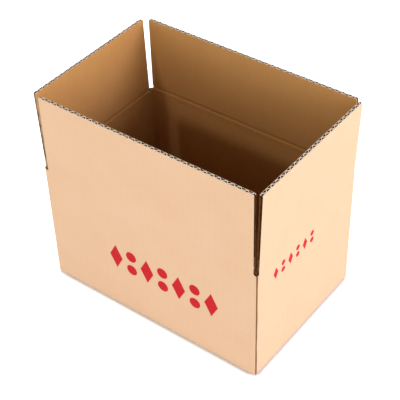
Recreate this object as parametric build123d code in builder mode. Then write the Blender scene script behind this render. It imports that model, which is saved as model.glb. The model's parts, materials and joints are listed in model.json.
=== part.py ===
from build123d import *
import math
import os

# Open corrugated shipping carton for jars: a folded body and four hinged top flaps.
# Millimetres. The origin is the middle of the underside, +Z up, +X along the long side,
# and the front of the carton faces -Y.

# Outside of the folded carton
length = 230.0
width = 153.0
score_height = 130.5
flap_reach = 75.0

# Single-wall board: two liners glued to a waved medium
board = 3.0
liner = 0.35
medium = 0.25
flute_pitch = 6.5
flute_flank_angle = 45.0
flute_crest_radius = 1.3

# Folds and creases
fold_radius = 2.0
crease_gap = 0.3
crease_round = 1.5
crush_height = 9.0
hinge_clearance = 0.15
lap_clearance = 0.3

# Slots at the corners: how far each panel stops short of the carton's corner
front_left_slot = 6.0
front_right_slot = 3.2
back_left_slot = 5.0
back_right_slot = 3.6
end_front_slot = 3.4
left_back_slot = 5.8
right_back_slot = 3.4
slot_clearance = 0.3
slot_end_radius = 2.5
flap_corner_radius = 1.2

# How far the end flaps lean outwards as they stand open
end_flap_lean = 1.8

# Glued lap joint at the front right corner, where the slot is cut deeper and wider below the
# score, and has crushed a nick into the flap just above it
raw_edge_setback = 0.3
lap_slot_depth = 5.0
lap_slot_widening = 0.2
nick_radius = 2.3
nick_depth = 0.6
nick_height = 4.0
tab_reach = 34.0
tab_taper = 9.0

# The long bottom flaps meet under the middle with a narrow seam
seam_gap = 1.2

half_length = length / 2
half_width = width / 2

# The end flaps fold first, so their score lies one board lower
end_score_height = score_height - board - lap_clearance
end_flap_reach = flap_reach + score_height - end_score_height
long_bottom_reach = half_width - seam_gap / 2

# Heights at which the corner slots end
top_slot_end = end_score_height - crease_gap
lap_slot_end = top_slot_end - lap_slot_depth
bottom_slot_end = board + lap_clearance

# Each side from outside: x along it, y inwards, z up, from the foot of its middle
front = Plane((0, -half_width, 0), x_dir=(1, 0, 0), z_dir=(0, 0, 1))
back = Plane((0, half_width, 0), x_dir=(-1, 0, 0), z_dir=(0, 0, 1))
right = Plane((half_length, 0, 0), x_dir=(0, 1, 0), z_dir=(0, 0, 1))
left = Plane((-half_length, 0, 0), x_dir=(0, -1, 0), z_dir=(0, 0, 1))

# Where the panel of each side starts and ends along it
front_span = (-half_length + front_left_slot, half_length - front_right_slot)
front_wall_span = (front_span[0], front_span[1] - lap_slot_widening)
back_span = (-half_length + back_right_slot, half_length - back_left_slot)
right_span = (-half_width + end_front_slot, half_width - right_back_slot)
left_span = (-half_width + left_back_slot, half_width - end_front_slot)


def across(side, along):
    """Plane square to a side at a place along it: x inwards through the board, y up."""
    return Plane(side.origin + side.x_dir * along, x_dir=side.y_dir, z_dir=side.x_dir)


def panel_section(floor, score, reach):
    """A wall panel and the bottom flap that it folds into."""
    wall_middle = board / 2
    flap_middle = floor + board / 2
    with BuildSketch() as section:
        with BuildLine():
            FilletPolyline(
                (wall_middle, score - crease_gap),
                (wall_middle, flap_middle),
                (reach, flap_middle),
                radius=fold_radius,
            )
        trace(line_width=board)
    return section.sketch


def crease_section(score):
    """What the top crease takes off a wall panel: the board over a 45 degree bevel."""
    crease_top = score - crease_gap
    with BuildSketch() as bevel:
        with BuildLine():
            Polyline(
                (0, crease_top),
                (board, crease_top - board),
                (board, crease_top - 2 * board),
                (0, crease_top - 2 * board),
                close=True,
            )
        make_face()
        shoulder = Vector(board, crease_top - board)
        fillet(bevel.vertices().sort_by_distance(shoulder)[0], radius=crease_round)
    with BuildSketch() as section:
        with Locations((board / 2, crease_top - board)):
            Rectangle(board, 2 * board)
        add(bevel.sketch, mode=Mode.SUBTRACT)
    return section.sketch


with BuildPart() as carton_body:
    wall_x = half_length - board / 2
    wall_y = half_width - board / 2

    # One strip of board goes round the four walls and ends in the tab behind the front wall
    with BuildSketch(Plane.XY.offset(bottom_slot_end)) as wall_plan:
        with BuildLine():
            FilletPolyline(
                (half_length - raw_edge_setback, -wall_y),
                (-wall_x, -wall_y),
                (-wall_x, wall_y),
                (wall_x, wall_y),
                (wall_x, -wall_y + board),
                (wall_x - tab_reach, -wall_y + board),
                radius=fold_radius,
            )
        trace(line_width=board)
    extrude(amount=lap_slot_end - bottom_slot_end)

    # The three folded corners go on up to the ends of their slots
    with BuildSketch(Plane.XY.offset(lap_slot_end)) as corner_plan:
        with BuildLine():
            FilletPolyline(
                (front_wall_span[1], -wall_y),
                (-wall_x, -wall_y),
                (-wall_x, wall_y),
                (wall_x, wall_y),
                (wall_x, right_span[0]),
                radius=fold_radius,
            )
        trace(line_width=board)
    extrude(amount=top_slot_end - lap_slot_end)

    # The tab narrows towards its free end, above and below
    with BuildSketch(Plane.XZ.offset(half_width - board)) as tab_trim:
        tab_end = half_length - board / 2 - tab_reach
        tab_root = half_length - board - fold_radius
        for end, taper in ((lap_slot_end, -tab_taper), (bottom_slot_end, tab_taper)):
            with BuildLine():
                Polyline((tab_root, end), (tab_end, end), (tab_end, end + taper), close=True)
            make_face()
    extrude(amount=-board, mode=Mode.SUBTRACT)

    # Panels between the slots: the long bottom flaps lie outside, the end ones on top of them
    for side, span in ((front, front_wall_span), (back, back_span)):
        with BuildSketch(across(side, span[0])):
            add(panel_section(0, score_height, long_bottom_reach))
        extrude(amount=span[1] - span[0])
    for side, span in ((right, right_span), (left, left_span)):
        with BuildSketch(across(side, span[0])):
            add(panel_section(board, end_score_height, end_flap_reach))
        extrude(amount=span[1] - span[0])

    # Creases along the top, with room beside the end flaps, which fold down between the corners
    for side, span, score, room in (
        (front, front_wall_span, score_height, 0),
        (back, back_span, score_height, 0),
        (right, right_span, end_score_height, slot_clearance),
        (left, left_span, end_score_height, slot_clearance),
    ):
        with BuildSketch(across(side, span[0] - room)):
            add(crease_section(score))
        extrude(amount=span[1] - span[0] + 2 * room, mode=Mode.SUBTRACT)

    # The slot at the lap joint has a rounded foot where the front panel rises from it
    with BuildSketch(Plane.XZ.offset(half_width)) as slot_foot:
        with Locations((front_wall_span[1], lap_slot_end)):
            Rectangle(slot_end_radius, slot_end_radius, align=(Align.MIN, Align.MIN))
        with Locations((front_wall_span[1] + slot_end_radius, lap_slot_end + slot_end_radius)):
            Circle(slot_end_radius, mode=Mode.SUBTRACT)
    extrude(amount=-board)

carton_body.part.label = "carton_body"


def make_flap(side, span, score, reach, lean, nicked=False):
    """A top flap of fluted board on a hinge line just outside its side's face."""
    tilt = math.radians(lean)
    hinge = Plane(
        side.origin - side.y_dir * hinge_clearance + side.z_dir * score,
        x_dir=side.x_dir,
        z_dir=side.z_dir * math.cos(tilt) - side.y_dir * math.sin(tilt),
    )
    outer = hinge_clearance
    inner = hinge_clearance + board
    with BuildPart() as flap:
        with BuildSketch(across(hinge, span[0])) as section:
            with BuildLine():
                Polyline(
                    (outer, crease_gap),
                    (outer, reach),
                    (inner, reach),
                    (inner, crease_gap + board),
                    close=True,
                )
            make_face()
            shoulder = Vector(inner, crease_gap + board)
            fillet(section.vertices().sort_by_distance(shoulder)[0], radius=crease_round)
        extrude(amount=span[1] - span[0])

        cut_edge = Axis(hinge.origin, hinge.z_dir)
        through_board = Axis(hinge.origin, hinge.y_dir)
        corners = flap.edges().filter_by(through_board).group_by(cut_edge)[-1]
        fillet(corners, radius=flap_corner_radius)

        # A nick crushed into the edge just above the crease
        if nicked:
            nick_centre = hinge.origin + hinge.x_dir * (span[1] - nick_depth + nick_radius)
            with BuildSketch(Plane(nick_centre, x_dir=hinge.x_dir, z_dir=-hinge.y_dir)):
                with Locations((0, nick_height)):
                    Circle(nick_radius)
            extrude(amount=-inner, mode=Mode.SUBTRACT)

        # Flute channels, open at the cut edge and crushed shut near the score
        flank = math.radians(flute_flank_angle)
        channel_height = board - 2 * liner - medium
        crest_centre = channel_height - flute_crest_radius
        foot = (flute_crest_radius + crest_centre * math.cos(flank)) / math.sin(flank)
        apex = foot * math.tan(flank)
        pitches = max(-span[0], span[1]) / flute_pitch
        with BuildSketch(hinge.offset(reach)) as channels:
            with Locations((0, outer + liner)):
                with GridLocations(flute_pitch, 0, 2 * math.floor(pitches) + 1, 1):
                    Polygon((-foot, 0), (foot, 0), (0, apex), align=None)
            fillet(channels.vertices().group_by(Axis.Y)[-1], radius=flute_crest_radius)
            with Locations((0, inner - liner)):
                with GridLocations(flute_pitch, 0, 2 * math.floor(pitches + 0.5), 1):
                    Polygon((-foot, 0), (0, -apex), (foot, 0), align=None)
            fillet(channels.vertices().group_by(Axis.Y)[0], radius=flute_crest_radius)
        extrude(amount=crush_height - reach, mode=Mode.SUBTRACT)
    return flap


front_flap = make_flap(front, front_span, score_height, flap_reach, 0, nicked=True)
front_flap.part.label = "front_flap"

back_flap = make_flap(back, back_span, score_height, flap_reach, 0)
back_flap.part.label = "back_flap"

right_flap = make_flap(right, right_span, end_score_height, end_flap_reach, end_flap_lean)
right_flap.part.label = "right_flap"

left_flap = make_flap(left, left_span, end_score_height, end_flap_reach, end_flap_lean)
left_flap.part.label = "left_flap"

os.makedirs("parts", exist_ok=True)
for piece in (carton_body, front_flap, back_flap, right_flap, left_flap):
    export_step(piece.part, f"parts/{piece.part.label}.step")
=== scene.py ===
"""Looks for the open corrugated carton: paper, cut edges, creases, print, light and camera."""

import bpy
import bmesh
import json
import math
from mathutils import Matrix, Vector


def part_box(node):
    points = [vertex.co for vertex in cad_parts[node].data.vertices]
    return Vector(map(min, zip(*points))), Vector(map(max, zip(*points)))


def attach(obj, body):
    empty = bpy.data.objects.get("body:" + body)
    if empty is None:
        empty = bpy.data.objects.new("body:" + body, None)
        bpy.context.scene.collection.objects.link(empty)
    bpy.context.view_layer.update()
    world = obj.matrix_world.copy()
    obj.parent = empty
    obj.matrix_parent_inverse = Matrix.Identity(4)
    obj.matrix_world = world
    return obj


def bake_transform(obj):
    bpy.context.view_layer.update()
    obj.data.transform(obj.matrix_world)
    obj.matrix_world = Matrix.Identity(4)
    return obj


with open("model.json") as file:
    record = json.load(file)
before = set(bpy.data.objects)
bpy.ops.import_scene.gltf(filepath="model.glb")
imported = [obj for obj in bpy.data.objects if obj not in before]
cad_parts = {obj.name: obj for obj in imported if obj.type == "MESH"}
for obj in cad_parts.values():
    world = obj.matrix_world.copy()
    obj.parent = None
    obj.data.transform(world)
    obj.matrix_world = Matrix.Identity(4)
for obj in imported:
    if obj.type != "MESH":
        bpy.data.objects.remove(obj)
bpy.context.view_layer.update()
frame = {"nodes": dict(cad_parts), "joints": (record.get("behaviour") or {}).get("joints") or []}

MM = 0.001
UP = Vector((0, 0, 1))
SHARP_ANGLE = math.radians(50)

# Board of the carton, and its outside at rest
BOARD = 3.0 * MM
LINER = 0.35 * MM
HALF_MEDIUM = 0.13 * MM
FLUTE_PITCH = 6.5 * MM
FLUTE_WAVE = 2 * math.pi / FLUTE_PITCH
HINGE_CLEARANCE = 0.15 * MM
CRUSHED_FOOT = 9.0 * MM
OPEN_FLUTE = 3.3 * MM
END_FLAP_LEAN = math.radians(1.8)
body_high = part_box("carton_body")[1]
HALF_LENGTH = body_high.x
HALF_WIDTH = body_high.y
joints = {joint["name"]: joint for joint in frame["joints"]}

# Paper colours, as linear reflectances
OUTER_LINER = (0.49, 0.317, 0.195, 1)
OUTER_LINER_PALE = (0.52, 0.347, 0.224, 1)
INNER_LINER = (0.53, 0.277, 0.093, 1)
INNER_LINER_DARK = (0.47, 0.235, 0.076, 1)
# Painted shade: the flute channels are coloured near black for the shade inside them
CHANNEL_SHADE = (0.05, 0.027, 0.014, 1)
# Top cuts: the paler paper core, lifted with a painted highlight from the light above
TOP_CUT_WITH_HIGHLIGHT = (0.80, 0.60, 0.42, 1)
TOP_CUT_LINER_WITH_HIGHLIGHT = (0.93, 0.80, 0.64, 1)
# Side cuts: browner crushed medium, darkened with painted shade of the open flutes, darkest in the
# blotches, between paler liner lines
SIDE_CUT = (0.34, 0.235, 0.135, 1)
SIDE_CUT_SHADE = (0.08, 0.055, 0.032, 1)
SIDE_CUT_LINER = (0.44, 0.31, 0.19, 1)
INK_RED = (0.375, 0.006, 0.010, 1)

# Tints of cut edges: plain, dulled, painted shade in the narrow slot, and painted shade at the lap
# joint's corner
PLAIN = (1.0, 1.0, 1.0, 1)
DULLED = (0.85, 0.82, 0.76, 1)
SLOT_SHADE = (0.25, 0.14, 0.07, 1)
LAP_CORNER_SHADE = (0.30, 0.20, 0.12, 1)
LAP_SHADE_STARTS, LAP_SHADE_ENDS = 16 * MM, 12 * MM

# How strongly paper and ink shine, how rough they are and how much that varies, and the depth and
# strength of their relief
PAPER_SHINE, INK_SHINE = 0.1, 0.06
PAPER_ROUGHNESS, PAPER_UNEVEN = 0.70, 0.16
INK_ROUGHNESS, INK_UNEVEN = 0.5, 0.2
FLUTE_RELIEF, FLUTE_STRENGTH = 0.02 * MM, 0.8
FIBRE_RELIEF, FIBRE_STRENGTH = 0.03 * MM, 0.6

# Grain of the paper and the ink: noise scales, and how much grain that runs upright is squeezed
CLOUDS = 32.0
SPECKS = 480.0
FLECKS, FLECK_SQUEEZE = 520.0, 0.22
BLOTCHES, BLOTCH_SQUEEZE = 420.0, 0.4
FIBRES, FIBRE_SQUEEZE = 1500.0, 0.35
TORN_FIBRES = 900.0
INK_GRAIN = 900.0

# What the grain does: the noise at which it starts and is full, and how much it then changes
SPECK_STARTS, SPECK_FULL, SPECK_SHADE = 0.70, 0.78, 0.93
BLOTCH_STARTS, BLOTCH_FULL = 0.36, 0.60
INK_THINS, INK_THINNEST, INK_THINNING = 0.55, 0.82, 0.12
FLECKS_INSIDE, FLECKS_OUTSIDE = 0.09, 0.02
FLUTE_SHADE = 0.992

# The line that a liner shows on a cut edge: where it starts and is full, in from the board's face
SIDE_LINE = (1.2 * LINER, 0.7 * LINER)
TOP_LINE = (1.15 * LINER, 0.9 * LINER)

# How squarely a face has to look in a direction to count as facing it, and as a flap's side edge
FACES_IT, FACES_SIDE = 0.5, 0.6

# A crease: how far it reaches up and down outside and inside, the part that bends, and its rows,
# close together where it bends and fewer beyond that
CREASE_REACH = 10 * MM
CREASE_INSIDE = 6.8 * MM
CREASE_BEND = 1.6 * MM
BEND_ROWS = 22
ROWS_BEYOND = (CREASE_REACH, 8.5 * MM, 7.0 * MM, CREASE_INSIDE,
               5.4 * MM, 4.2 * MM, 3.3 * MM, 2.7 * MM, 2.1 * MM)

# How far a crease's liners stand proud of the board, and lie in it where they end
CREASE_PROUD = 0.03 * MM
CREASE_SUNK = 0.02 * MM
CREASE_HIDDEN = 0.3 * MM

# Groove and ridge that the score leaves inside: depth, then middle and reach below and above it
GROOVE_DEPTH, GROOVE = 1.15 * MM, (-0.4 * MM, 0.9 * MM, 3.6 * MM)
RIDGE_DEPTH, RIDGE = 0.4 * MM, (-1.4 * MM, 5.0 * MM, 0.9 * MM)

# Crushed ends of a crease: half the height of the bulge, how far the ends stay back beyond it, and
# columns through the board, each with its share of the thickness and its share of the bulge
BULGE_WIDTH = 1.1 * MM
BULGE_INSET = 0.05 * MM
BULGE_COLUMNS = ((0.0, 0.5), (0.25, 1.0), (0.75, 1.0), (1.0, 0.5))

# Frayed edge of the waved medium: half its thickness above and below, how uneven it is, how far
# down it goes, how proud it stands, steps to a flute, and how far it stays from the flap's corners
FRAY_SPREAD = 0.38 * MM
FRAY_FOOT = 0.1 * MM
FRAY_UNEVEN, FRAY_BEAT = 0.2, 1.7
FRAY_DEPTH = 0.9 * MM
FRAY_PROUD = 0.02 * MM
FRAY_STEPS = 16
FRAY_INSET = 1.5 * MM

# Crushed fold at the lap joint: its ends, distance of its rows, how far back from the front face
# it starts, how much nearer it comes at the bottom, and waves by amplitude, length and phase
LAP_BOTTOM, LAP_TOP = BOARD + 0.5 * MM, 121.2 * MM
LAP_STEP = 3.0 * MM
LAP_START = 2.0 * MM
LAP_NEARER = 0.3 * MM
LAP_WAVES = ((0.16 * MM, 9 * MM, 0.0), (0.10 * MM, 3.7 * MM, 1.0))

# Section of that fold: distance in from the end face, distance back from the front face, and
# whether it is counted from the start of the fold (1) or from the front face itself (0)
LAP_SECTION = (
    (-0.02 * MM, 6.5 * MM, 0),
    (-0.03 * MM, BOARD + 0.4 * MM, 0),
    (0.02 * MM, 0.25 * MM, 1),
    (0.14 * MM, 0.06 * MM, 1),
    (0.32 * MM, 0.0, 1),
    (0.9 * MM, 0.2 * MM, 1),
    (2.6 * MM, BOARD + 0.8 * MM, 0),
    (0.6 * MM, 6.5 * MM, 0),
)

# Flaps: node, inward and along directions, and lean at rest, then for the two ends how far the
# crushed crease stands out and the tint of the cut edge, painted shade where it stands in the slot
FLAPS = (
    ("front_flap", (0, 1, 0), (1, 0, 0), 0.0, (0.8 * MM, 1.0 * MM), (PLAIN, SLOT_SHADE)),
    ("back_flap", (0, -1, 0), (1, 0, 0), 0.0, (0.8 * MM, 0.8 * MM), (PLAIN, PLAIN)),
    ("right_flap", (-1, 0, 0), (0, 1, 0), END_FLAP_LEAN, (0.3 * MM, 0.3 * MM), (SLOT_SHADE, PLAIN)),
    ("left_flap", (1, 0, 0), (0, 1, 0), -END_FLAP_LEAN, (0.3 * MM, 0.8 * MM), (DULLED, PLAIN)),
)

# Printed rows: name, count, pitch, width and height of a mark, middle of the row, and the
# directions in which it runs and faces
PRINTS = (
    ("front_print", 7, 17.5 * MM, 14.5 * MM, 27 * MM,
     (16 * MM, -HALF_WIDTH, 62 * MM), (1, 0, 0), (0, -1, 0)),
    ("end_print", 6, 11.0 * MM, 7 * MM, 13 * MM,
     (HALF_LENGTH, -21 * MM, 104 * MM), (0, 1, 0), (1, 0, 0)),
)
PRINT_PROUD, PRINT_SUNK = 0.03 * MM, 0.02 * MM
DISC_RADIUS_SHARE = 0.21
DISC_CORNERS = 40

# Table: half its size, its two whites, and the glow that gives way to a shadow by the carton
FLOOR_HALF = 3.0
FLOOR_CLOUDS = 3.0
FLOOR_WHITES = ((0.90, 0.90, 0.90, 1), (0.92, 0.92, 0.92, 1))
FLOOR_ROUGHNESS = 0.6
FLOOR_GLOW = 1.06
CONTACT_REACH = 7 * MM
CONTACT_SHADOW = 0.45
CONTACT_SAMPLES = 8

# Surround: its strength below one height of direction and above another
SURROUND_LOW, SURROUND_HIGH = 0.1, 0.7
SURROUND_SIDE, SURROUND_TOP = 2.43, 0.19

# Lamps: name, bearing, rise, size, power and colour
LIGHT_AIM = Vector((0, 0, 0.1))
LIGHT_DISTANCE = 1.6
LIGHTS = (
    ("key", math.radians(12), math.radians(19), 0.5, 14.0, (1.0, 0.93, 1.05)),
    ("front_light", math.radians(-104), math.radians(35), 0.12, 3.6, (1.0, 1.0, 1.0)),
)


class Shader:
    """One material's node tree, with short calls for the nodes that it is made of."""

    def __init__(self, name):
        self.material = bpy.data.materials.new(name)
        self.material.use_nodes = True
        self.tree = self.material.node_tree
        self.surface = self.tree.nodes["Principled BSDF"]
        coordinates = self.tree.nodes.new("ShaderNodeTexCoord")
        self.position = coordinates.outputs["Object"]
        self.normal = coordinates.outputs["Normal"]

    def put(self, socket, value):
        if isinstance(value, bpy.types.NodeSocket):
            self.tree.links.new(value, socket)
        else:
            socket.default_value = value

    def math(self, operation, *values):
        node = self.tree.nodes.new("ShaderNodeMath")
        node.operation = operation
        for socket, value in zip(node.inputs, values):
            self.put(socket, value)
        return node.outputs[0]

    def minus(self, value, other):
        return self.math("SUBTRACT", value, other)

    def absolute(self, value):
        return self.math("ABSOLUTE", value)

    def below(self, value, limit):
        return self.math("LESS_THAN", value, limit)

    def above(self, value, limit):
        return self.math("GREATER_THAN", value, limit)

    def both(self, first, second):
        return self.math("MULTIPLY", first, second)

    def either(self, first, second):
        return self.math("MAXIMUM", first, second)

    def opposite(self, value):
        return self.minus(1.0, value)

    def between(self, value, low, high):
        return self.both(self.above(value, low), self.below(value, high))

    def outside(self, value, low, high):
        return self.either(self.below(value, low), self.above(value, high))

    def dot(self, vector, direction):
        node = self.tree.nodes.new("ShaderNodeVectorMath")
        node.operation = "DOT_PRODUCT"
        self.put(node.inputs[0], vector)
        self.put(node.inputs[1], direction)
        return node.outputs["Value"]

    def upright(self, squeeze):
        """Position squeezed in height, so that noise taken from it runs upright."""
        node = self.tree.nodes.new("ShaderNodeVectorMath")
        node.operation = "MULTIPLY"
        self.put(node.inputs[0], self.position)
        self.put(node.inputs[1], (1.0, 1.0, squeeze))
        return node.outputs[0]

    def step(self, value, low, high, start=0.0, end=1.0):
        """Smooth step from start to end as value goes from low to high."""
        node = self.tree.nodes.new("ShaderNodeMapRange")
        node.interpolation_type = "SMOOTHSTEP"
        settings = (("From Min", low), ("From Max", high), ("To Min", start), ("To Max", end))
        for name, number in settings:
            node.inputs[name].default_value = number
        self.put(node.inputs["Value"], value)
        return node.outputs["Result"]

    def noise(self, vector, scale, detail=3.0, roughness=0.55):
        node = self.tree.nodes.new("ShaderNodeTexNoise")
        self.put(node.inputs["Vector"], vector)
        node.inputs["Scale"].default_value = scale
        node.inputs["Detail"].default_value = detail
        node.inputs["Roughness"].default_value = roughness
        return node.outputs[0]

    def mix(self, factor, first, second, blend="MIX"):
        node = self.tree.nodes.new("ShaderNodeMix")
        node.data_type = "RGBA"
        node.blend_type = blend
        self.put(node.inputs[0], factor)
        self.put(node.inputs[6], first)
        self.put(node.inputs[7], second)
        return node.outputs[2]

    def tint(self, colour, other):
        return self.mix(1.0, colour, other, "MULTIPLY")

    def shade(self, colour, amount):
        """The colour made lighter or darker by a grey amount."""
        grey = self.tree.nodes.new("ShaderNodeCombineColor")
        for socket in grey.inputs:
            self.put(socket, amount)
        return self.tint(colour, grey.outputs[0])

    def bump(self, height, distance, strength=1.0, normal=None):
        node = self.tree.nodes.new("ShaderNodeBump")
        node.inputs["Strength"].default_value = strength
        node.inputs["Distance"].default_value = distance
        self.put(node.inputs["Height"], height)
        if normal is not None:
            self.put(node.inputs["Normal"], normal)
        return node.outputs[0]


def flute_wave(shader, along):
    """Height of the wave that the flutes press into a liner, from 0 to 1, along the panel."""
    turns = shader.math("MULTIPLY", along, FLUTE_WAVE)
    return shader.math("MULTIPLY_ADD", shader.math("COSINE", turns), 0.5, 0.5)


def liners(shader, outer, along):
    """Kraft liner, pale where outer is 1 and brown where it is 0: cloudy, speckled and fluted."""
    clouds = shader.noise(shader.position, CLOUDS)
    outside = shader.mix(clouds, OUTER_LINER, OUTER_LINER_PALE)
    inside = shader.mix(clouds, INNER_LINER_DARK, INNER_LINER)
    colour = shader.mix(outer, inside, outside)

    speckle = shader.noise(shader.position, SPECKS, detail=1.0)
    speck_shade = shader.step(speckle, SPECK_STARTS, SPECK_FULL, start=1.0, end=SPECK_SHADE)
    flecks = shader.noise(shader.upright(FLECK_SQUEEZE), FLECKS, detail=2.0, roughness=0.6)
    less_outside = FLECKS_OUTSIDE - FLECKS_INSIDE
    fleck_depth = shader.math("MULTIPLY_ADD", outer, less_outside, FLECKS_INSIDE)
    fleck_shade = shader.math("MULTIPLY_ADD", shader.minus(flecks, 0.5), fleck_depth, 1.0)
    wave_shade = shader.step(flute_wave(shader, along), 0.0, 1.0, start=FLUTE_SHADE, end=1.0)
    return shader.shade(colour, shader.both(shader.both(speck_shade, fleck_shade), wave_shade))


def liner_line(shader, depth, starts, full):
    """1 where a liner shows on a cut edge, and 0 in the middle of the board."""
    from_middle = shader.absolute(shader.minus(depth, BOARD / 2))
    return shader.step(from_middle, BOARD / 2 - starts, BOARD / 2 - full)


def side_cut(shader, depth):
    """Edge cut along the flutes: crushed brown medium, mottled and darkened with painted shade of
    its open flutes, between two paler liner lines.
    """
    blotches = shader.noise(shader.upright(BLOTCH_SQUEEZE), BLOTCHES, roughness=0.65)
    core = shader.mix(shader.step(blotches, BLOTCH_STARTS, BLOTCH_FULL), SIDE_CUT_SHADE, SIDE_CUT)
    return shader.mix(liner_line(shader, depth, *SIDE_LINE), core, SIDE_CUT_LINER)


def top_cut_with_highlight(shader, depth):
    """Edge cut across the flutes: a pale line for each liner, and browner medium between them, all
    lifted with a painted highlight from the light above.
    """
    return shader.mix(liner_line(shader, depth, *TOP_LINE), TOP_CUT_WITH_HIGHLIGHT, TOP_CUT_LINER_WITH_HIGHLIGHT)


def body_cut(shader, depth):
    """Cut edge of the body or a crease: painted shade at the lap joint's corner, and plain
    elsewhere.
    """
    corner = HALF_LENGTH + HALF_WIDTH
    towards_lap = shader.dot(shader.position, (1, -1, 0))
    # Painted shade on the cut edges near the lap joint's corner
    near = shader.step(towards_lap, corner - LAP_SHADE_STARTS, corner - LAP_SHADE_ENDS)
    return shader.tint(side_cut(shader, depth), shader.mix(near, PLAIN, LAP_CORNER_SHADE))


def finish_paper(shader, colour, along):
    """Dull finish, with the fibres and the flutes as faint relief."""
    fibres = shader.noise(shader.upright(FIBRE_SQUEEZE), FIBRES, detail=2.0, roughness=0.7)
    roughness = shader.math("MULTIPLY_ADD", fibres, PAPER_UNEVEN, PAPER_ROUGHNESS)
    washboard = shader.bump(flute_wave(shader, along), FLUTE_RELIEF, FLUTE_STRENGTH)
    relief = shader.bump(fibres, FIBRE_RELIEF, FIBRE_STRENGTH, washboard)
    surface = shader.surface.inputs
    shader.put(surface["Base Color"], colour)
    shader.put(surface["Roughness"], roughness)
    surface["Specular IOR Level"].default_value = PAPER_SHINE
    shader.put(surface["Normal"], relief)


def flap_board(name, flap, end_tints):
    """Board of one top flap: liners, flute channels dark with painted shade, and the two kinds of
    cut edge.
    """
    shader = Shader(name)
    inward, up = flap.tilt @ flap.inward, flap.tilt @ UP
    outer_face = flap.hinge.dot(inward) + HINGE_CLEARANCE
    depth = shader.minus(shader.dot(shader.position, inward), outer_face)
    height = shader.minus(shader.dot(shader.position, up), flap.hinge.dot(up))
    place = shader.dot(shader.position, flap.along)
    on_top = shader.above(shader.dot(shader.normal, up), FACES_IT)
    on_side = shader.above(shader.absolute(shader.dot(shader.normal, flap.along)), FACES_SIDE)
    low, high = flap.low, flap.high

    margin = 0.3 * LINER
    foot = CRUSHED_FOOT - MM
    channel = shader.both(shader.between(depth, margin, BOARD - margin), shader.above(height, foot))
    colour = liners(shader, shader.below(depth, BOARD / 2), place)
    # Painted shade inside the flute channels
    colour = shader.mix(channel, colour, CHANNEL_SHADE)
    colour = shader.mix(shader.both(on_top, channel), colour, top_cut_with_highlight(shader, depth))

    # Ends of the flap: the flat cut, its rounding at the foot, and the flutes torn open beside it
    edge_width, edge_rounding = 0.1 * MM, 1.0 * MM
    at_side = shader.outside(place, low + edge_width, high - edge_width)
    near_side = shader.outside(place, low + edge_rounding, high - edge_rounding)
    rounded = shader.both(shader.both(on_side, near_side), shader.below(height, foot))
    torn = shader.outside(place, low + OPEN_FLUTE, high - OPEN_FLUTE)
    torn = shader.both(shader.both(torn, channel), shader.opposite(on_top))
    at_end = shader.either(torn, shader.either(at_side, rounded))
    # Painted shade: the tint darkens the cut ends that stand in the narrow slot
    end_tint = shader.mix(shader.step(place, low + OPEN_FLUTE, high - OPEN_FLUTE), *end_tints)
    colour = shader.mix(at_end, colour, shader.tint(side_cut(shader, depth), end_tint))
    finish_paper(shader, colour, place)
    return shader.material


def body_board(name):
    """Board of the folded body, whose liners and cut edges follow from the place in the carton."""
    shader = Shader(name)
    axes = ((1, 0, 0), (0, 1, 0), (0, 0, 1))
    x, y, z = (shader.dot(shader.position, axis) for axis in axes)
    nx, ny, nz = (shader.absolute(shader.dot(shader.normal, axis)) for axis in axes)
    from_end = shader.minus(HALF_LENGTH, shader.absolute(x))
    from_side = shader.minus(HALF_WIDTH, shader.absolute(y))
    depth = shader.math("MINIMUM", from_end, from_side)
    outer = shader.either(shader.below(depth, BOARD / 2), shader.below(z, BOARD / 2))

    # A face that isn't square to its panel is a cut edge
    long_panel = shader.below(from_side, from_end)
    end_panel = shader.opposite(long_panel)
    facing = shader.math("ADD", shader.both(long_panel, ny), shader.both(end_panel, nx))
    in_floor = shader.below(z, 2.2 * BOARD)
    facing = shader.either(facing, shader.both(in_floor, nz))
    cut = shader.below(facing, FACES_IT)

    # The raw end of the front wall, and the ends of the bottom flaps
    at_end_face = shader.above(x, HALF_LENGTH - 0.5 * MM)
    raw_end = shader.both(at_end_face, shader.below(y, -HALF_WIDTH + BOARD))
    far_in = 10 * MM
    flap_end = shader.either(shader.below(z, BOARD), shader.above(from_end, far_in))
    flap_end = shader.both(shader.above(nx, FACES_IT), flap_end)
    flap_side = shader.both(shader.above(ny, FACES_IT), shader.above(from_side, far_in))
    flap_edge = shader.both(in_floor, shader.either(flap_end, flap_side))
    cut = shader.either(cut, shader.either(raw_end, flap_edge))

    along = shader.math("ADD", shader.both(long_panel, x), shader.both(end_panel, y))
    colour = shader.mix(cut, liners(shader, outer, along), body_cut(shader, depth))
    finish_paper(shader, colour, along)
    return shader.material


def crease_paper(name, outer):
    """One liner as it runs on over a crease."""
    shader = Shader(name)
    along = shader.dot(shader.position, (1, 1, 0))
    finish_paper(shader, liners(shader, outer, along), along)
    return shader.material


def crease_end(name):
    """Crushed end of a crease, in the colour of the side edges, with their painted shade."""
    shader = Shader(name)
    finish_paper(shader, body_cut(shader, BOARD / 2), shader.dot(shader.position, UP))
    return shader.material


def frayed_paper(name):
    """Frayed edge of the waved medium: pale torn fibres, in the top cut's colours with their
    painted highlight.
    """
    shader = Shader(name)
    fibres = shader.noise(shader.position, TORN_FIBRES, detail=2.0)
    colour = shader.mix(fibres, TOP_CUT_WITH_HIGHLIGHT, TOP_CUT_LINER_WITH_HIGHLIGHT)
    finish_paper(shader, colour, shader.dot(shader.position, UP))
    return shader.material


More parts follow.
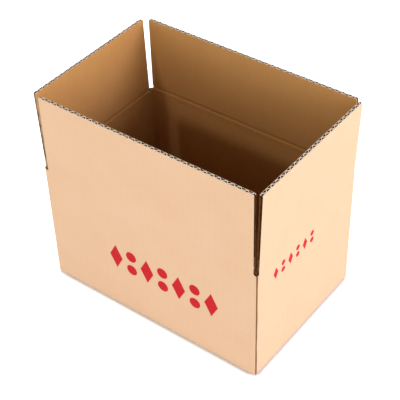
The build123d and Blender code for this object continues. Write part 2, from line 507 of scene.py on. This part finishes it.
def ink(name):
    """Printing ink: thin, slightly uneven red that follows the board's flute lines."""
    shader = Shader(name)
    grain = shader.noise(shader.position, INK_GRAIN, roughness=0.7)
    thin = shader.step(grain, INK_THINS, INK_THINNEST, start=0.0, end=INK_THINNING)
    roughness = shader.math("MULTIPLY_ADD", grain, INK_UNEVEN, INK_ROUGHNESS)
    along = shader.dot(shader.position, (1, 1, 0))
    relief = shader.bump(flute_wave(shader, along), FLUTE_RELIEF, FLUTE_STRENGTH)
    surface = shader.surface.inputs
    shader.put(surface["Base Color"], shader.mix(thin, INK_RED, OUTER_LINER))
    shader.put(surface["Roughness"], roughness)
    surface["Specular IOR Level"].default_value = INK_SHINE
    shader.put(surface["Normal"], relief)
    return shader.material


def dress(node, material):
    """Give a solid of the frame its material."""
    node.data.materials.clear()
    node.data.materials.append(material)


def new_mesh(name, build, *materials):
    """A mesh object filled by build(bm)."""
    mesh = bpy.data.meshes.new(name)
    bm = bmesh.new()
    build(bm)
    bmesh.ops.recalc_face_normals(bm, faces=bm.faces)
    for edge in bm.edges:
        edge.smooth = edge.calc_face_angle(0.0) < SHARP_ANGLE
    bm.to_mesh(mesh)
    bm.free()
    for material in materials:
        mesh.materials.append(material)
    new_object = bpy.data.objects.new(name, mesh)
    bpy.context.scene.collection.objects.link(new_object)
    return new_object


def closed_tube(bm, rings):
    """Faces between rings of corners, and over the first and last of them."""
    corners = len(rings[0])
    for first, second in zip(rings, rings[1:]):
        for j in range(corners):
            k = (j + 1) % corners
            bm.faces.new((first[j], first[k], second[k], second[j]))
    for ring in (rings[0], rings[-1]):
        bm.faces.new(ring)


def smooth(share):
    share = min(max(share, 0.0), 1.0)
    return share * share * (3 - 2 * share)


def hump(height, middle, below, above):
    """Smooth hump of height 1 with its own reach on each side."""
    reach = above if height > middle else below
    return smooth(1 - abs(height - middle) / reach)


class Flap:
    """A top flap at rest: its hinge, how it faces and leans, and where its edges are."""

    def __init__(self, node, inward, along, lean):
        self.body = f"{node}_body"
        self.hinge = Vector(joints[f"{node}_fold"]["pos_m"])
        self.inward = Vector(inward)
        self.along = Vector(along)
        self.lean = lean
        self.tilt = Matrix.Rotation(lean, 3, self.along)
        box_low, box_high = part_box(node)
        self.low, self.high = box_low.dot(self.along), box_high.dot(self.along)
        inner_edge_rise = (HINGE_CLEARANCE + BOARD) * math.sin(abs(lean))
        self.reach = (box_high.z - self.hinge.z - inner_edge_rise) / math.cos(lean)

    def point(self, depth, height, place, leaning=1.0):
        """Point of the board by depth from its outer face, height over the hinge, and place."""
        turn = Matrix.Rotation(self.lean * leaning, 3, self.along)
        offset = self.inward * (HINGE_CLEARANCE + depth) + UP * height
        return self.hinge + self.along * place + turn @ offset


def crease_heights():
    """Heights of the rows across a crease, from the score."""
    middle = [CREASE_BEND * (2 * i / BEND_ROWS - 1) for i in range(BEND_ROWS + 1)]
    return [-height for height in ROWS_BEYOND] + middle + list(reversed(ROWS_BEYOND))


def crease_outside(height):
    """Depth of the outer liner: a hair proud over the score, and in the board at the ends."""
    return CREASE_SUNK - (CREASE_SUNK + CREASE_PROUD) * (1 - (height / CREASE_REACH) ** 2)


def crease_inside(height):
    """Depth of the inner liner: a groove at the score over a ridge, and hidden beyond its reach."""
    if abs(height) > CREASE_INSIDE:
        return CREASE_HIDDEN
    groove = GROOVE_DEPTH * hump(height, *GROOVE)
    ridge = RIDGE_DEPTH * hump(height, *RIDGE)
    return BOARD + CREASE_PROUD + ridge - groove


def crease_bulge(height, amount):
    """How far the crushed end of the crease stands out into its slot."""
    return amount * math.exp(-(height / BULGE_WIDTH) ** 2) - BULGE_INSET


def crease(name, flap, bulges):
    """The board that a flap turns on: it joins wall and flap."""
    heights = crease_heights()

    def crushed_edge(bm, place, amount, sign):
        """Columns of corners through the board at one end of the crease."""
        columns = []
        for depth_share, bulge_share in BULGE_COLUMNS:
            column = []
            for height in heights:
                outside, inside = crease_outside(height), crease_inside(height)
                depth = outside + (inside - outside) * depth_share
                swell = crease_bulge(height, amount * bulge_share)
                leaning = smooth((height / CREASE_BEND + 1) / 2)
                corner = flap.point(depth, height, place + sign * swell, leaning)
                column.append(bm.verts.new(corner))
            columns.append(column)
        return columns

    def build(bm):
        near = crushed_edge(bm, flap.low, bulges[0], -1)
        far = crushed_edge(bm, flap.high, bulges[1], 1)
        last = len(heights) - 1
        for i in range(last):
            for column, material in ((0, 0), (-1, 1)):
                first, second = near[column], far[column]
                face = bm.faces.new((first[i], first[i + 1], second[i + 1], second[i]))
                face.material_index = material
            for columns in (near, far):
                for first, second in zip(columns, columns[1:]):
                    face = bm.faces.new((first[i], first[i + 1], second[i + 1], second[i]))
                    face.material_index = 2
        for i in (0, last):
            bm.faces.new([column[i] for column in near] + [column[i] for column in reversed(far)])

    band = new_mesh(name, build, outer_crease_paper, inner_crease_paper, crushed_end)
    for face in band.data.polygons:
        face.use_smooth = face.material_index < 2
    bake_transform(band)


def frayed_medium(name, flap):
    """The waved medium where the knife has crushed it at the free edge: thick above, thin below."""
    body = flap.body
    start, end = flap.low + FRAY_INSET, flap.high - FRAY_INSET
    count = int((end - start) / FLUTE_PITCH * FRAY_STEPS)
    swing = BOARD / 2 - LINER - HALF_MEDIUM
    top, foot = flap.reach + FRAY_PROUD, flap.reach - FRAY_DEPTH

    def build(bm):
        rings = []
        for i in range(count + 1):
            place = start + (end - start) * i / count
            middle = BOARD / 2 + swing * math.cos(FLUTE_WAVE * place)
            slope = -swing * FLUTE_WAVE * math.sin(FLUTE_WAVE * place)
            across = Vector((-slope, 1.0)).normalized()
            spread = FRAY_SPREAD * (1 + FRAY_UNEVEN * math.sin(FRAY_BEAT * FLUTE_WAVE * place))
            section = ((spread, top), (-spread, top), (-FRAY_FOOT, foot), (FRAY_FOOT, foot))
            ring = []
            for offset, height in section:
                depth = middle + across.y * offset
                ring.append(bm.verts.new(flap.point(depth, height, place + across.x * offset)))
            rings.append(ring)
        closed_tube(bm, rings)

    strip = new_mesh(name, build, frayed)
    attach(strip, body)


def lap_corner(name):
    """Outer liner of the end wall, where its fold is crushed against the front wall's raw end."""
    rise = LAP_TOP - LAP_BOTTOM
    rows = int(rise / LAP_STEP)

    def build(bm):
        rings = []
        for i in range(rows + 1):
            z = LAP_BOTTOM + i * rise / rows
            wander = sum(size * math.sin(z / length + phase) for size, length, phase in LAP_WAVES)
            start = LAP_START + wander - LAP_NEARER * smooth((LAP_TOP - z) / rise)
            rings.append([
                bm.verts.new((HALF_LENGTH - inset, back + from_start * start - HALF_WIDTH, z))
                for inset, back, from_start in LAP_SECTION
            ])
        closed_tube(bm, rings)

    bead = new_mesh(name, build, outer_crease_paper)
    for face in bead.data.polygons:
        face.use_smooth = True
    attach(bead, "carton")


def lozenge(wide, high):
    return [(-wide / 2, 0), (0, -high / 2), (wide / 2, 0), (0, high / 2)]


def disc(radius, centre):
    turns = [2 * math.pi * i / DISC_CORNERS for i in range(DISC_CORNERS)]
    return [(radius * math.cos(turn), centre + radius * math.sin(turn)) for turn in turns]


def print_row(name, count, pitch, wide, high, origin, right, normal, material):
    """A printed row of tall lozenges with a pair of discs between each two, all of one height."""
    origin, right, normal = Vector(origin), Vector(right), Vector(normal)
    radius = DISC_RADIUS_SHARE * high
    disc_pair = [disc(radius, radius - high / 2), disc(radius, high / 2 - radius)]

    def build(bm):
        for i in range(count):
            place = origin + right * pitch * (i - (count - 1) / 2)
            outlines = [lozenge(wide, high)] if i % 2 == 0 else disc_pair
            for outline in outlines:
                closed_tube(bm, [
                    [bm.verts.new(place + right * a + UP * b + normal * level) for a, b in outline]
                    for level in (-PRINT_SUNK, PRINT_PROUD)
                ])

    row = new_mesh(name, build, material)
    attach(row, "carton")


def white_floor():
    """White glowing table, with a soft shadow where the carton stands on it."""
    shader = Shader("white_floor")
    surface = shader.surface.inputs
    clouds = shader.noise(shader.position, FLOOR_CLOUDS, detail=2.0)
    shader.put(surface["Base Color"], shader.mix(clouds, *FLOOR_WHITES))
    surface["Roughness"].default_value = FLOOR_ROUGHNESS
    surface["Emission Color"].default_value = (1, 1, 1, 1)
    contact = shader.tree.nodes.new("ShaderNodeAmbientOcclusion")
    contact.samples = CONTACT_SAMPLES
    contact.inputs["Distance"].default_value = CONTACT_REACH
    glow = shader.step(contact.outputs["AO"], CONTACT_SHADOW, 1.0, start=0.0, end=FLOOR_GLOW)
    shader.put(surface["Emission Strength"], glow)

    def build(bm):
        signs = ((-1, -1), (1, -1), (1, 1), (-1, 1))
        bm.faces.new([bm.verts.new((a * FLOOR_HALF, b * FLOOR_HALF, 0)) for a, b in signs])

    floor = new_mesh("floor", build, shader.material)


def surround():
    """White surround, bright at the sides and dim overhead."""
    world = bpy.data.worlds.new("studio")
    bpy.context.scene.world = world
    world.use_nodes = True
    tree = world.node_tree
    direction = tree.nodes.new("ShaderNodeTexCoord")
    parts = tree.nodes.new("ShaderNodeSeparateXYZ")
    tree.links.new(direction.outputs["Generated"], parts.inputs[0])
    fade = tree.nodes.new("ShaderNodeMapRange")
    fade.interpolation_type = "SMOOTHSTEP"
    tree.links.new(parts.outputs["Z"], fade.inputs["Value"])
    settings = (("From Min", SURROUND_LOW), ("From Max", SURROUND_HIGH),
                ("To Min", SURROUND_SIDE), ("To Max", SURROUND_TOP))
    for name, number in settings:
        fade.inputs[name].default_value = number
    background = tree.nodes["Background"]
    background.inputs["Color"].default_value = (1, 1, 1, 1)
    tree.links.new(fade.outputs["Result"], background.inputs["Strength"])


def lamps():
    """Soft key from the right and small light from the front."""
    for name, bearing, rise, size, power, colour in LIGHTS:
        light = bpy.data.lights.new(name, "AREA")
        light.shape = "DISK"
        light.color = colour
        light.size = size
        light.energy = power
        lamp = bpy.data.objects.new(name, light)
        level = math.cos(rise)
        towards = Vector((math.cos(bearing) * level, math.sin(bearing) * level, math.sin(rise)))
        lamp.location = LIGHT_AIM + LIGHT_DISTANCE * towards
        lamp.rotation_euler = (-towards).to_track_quat("-Z", "Y").to_euler()
        bpy.context.scene.collection.objects.link(lamp)


def camera():
    """Camera at the photograph's angle, given by its place, bearing, height angle and roll."""
    place = Vector((0.4683, -0.5993, 0.7446))
    bearing, down, roll = math.radians(37.97), math.radians(40.62), math.radians(-1.87)
    focal_pixels, image_pixels, sensor = 1110.5, 400, 36.0
    level = math.cos(down)
    forward = Vector((-math.sin(bearing) * level, math.cos(bearing) * level, -math.sin(down)))
    right = forward.cross(UP).normalized()
    up = right.cross(forward)
    rolled_right = math.cos(roll) * right + math.sin(roll) * up
    rolled_up = math.cos(roll) * up - math.sin(roll) * right
    data = bpy.data.cameras.new("camera")
    data.sensor_width = sensor
    data.lens = focal_pixels / image_pixels * sensor
    data.clip_start = 0.05
    view = bpy.data.objects.new("camera", data)
    turn = Matrix((rolled_right, rolled_up, -forward)).transposed()
    view.matrix_world = Matrix.Translation(place) @ turn.to_4x4()
    bpy.context.scene.collection.objects.link(view)
    bpy.context.scene.camera = view


dress(frame["nodes"]["carton_body"], body_board("kraft_body"))
outer_crease_paper = crease_paper("kraft_crease_outside", 1.0)
inner_crease_paper = crease_paper("kraft_crease_inside", 0.0)
crushed_end = crease_end("kraft_crease_end")
frayed = frayed_paper("kraft_frayed_medium")
for node, inward, along, lean, bulges, end_tints in FLAPS:
    flap = Flap(node, inward, along, lean)
    dress(frame["nodes"][node], flap_board(f"kraft_{node}", flap, end_tints))
    crease(f"{node}_crease", flap, bulges)
    frayed_medium(f"{node}_medium", flap)

lap_corner("lap_corner_fold")

red = ink("red_flexo_ink")
for row in PRINTS:
    print_row(*row, red)

white_floor()
surround()
lamps()
camera()
bpy.context.scene.view_settings.view_transform = "Standard"
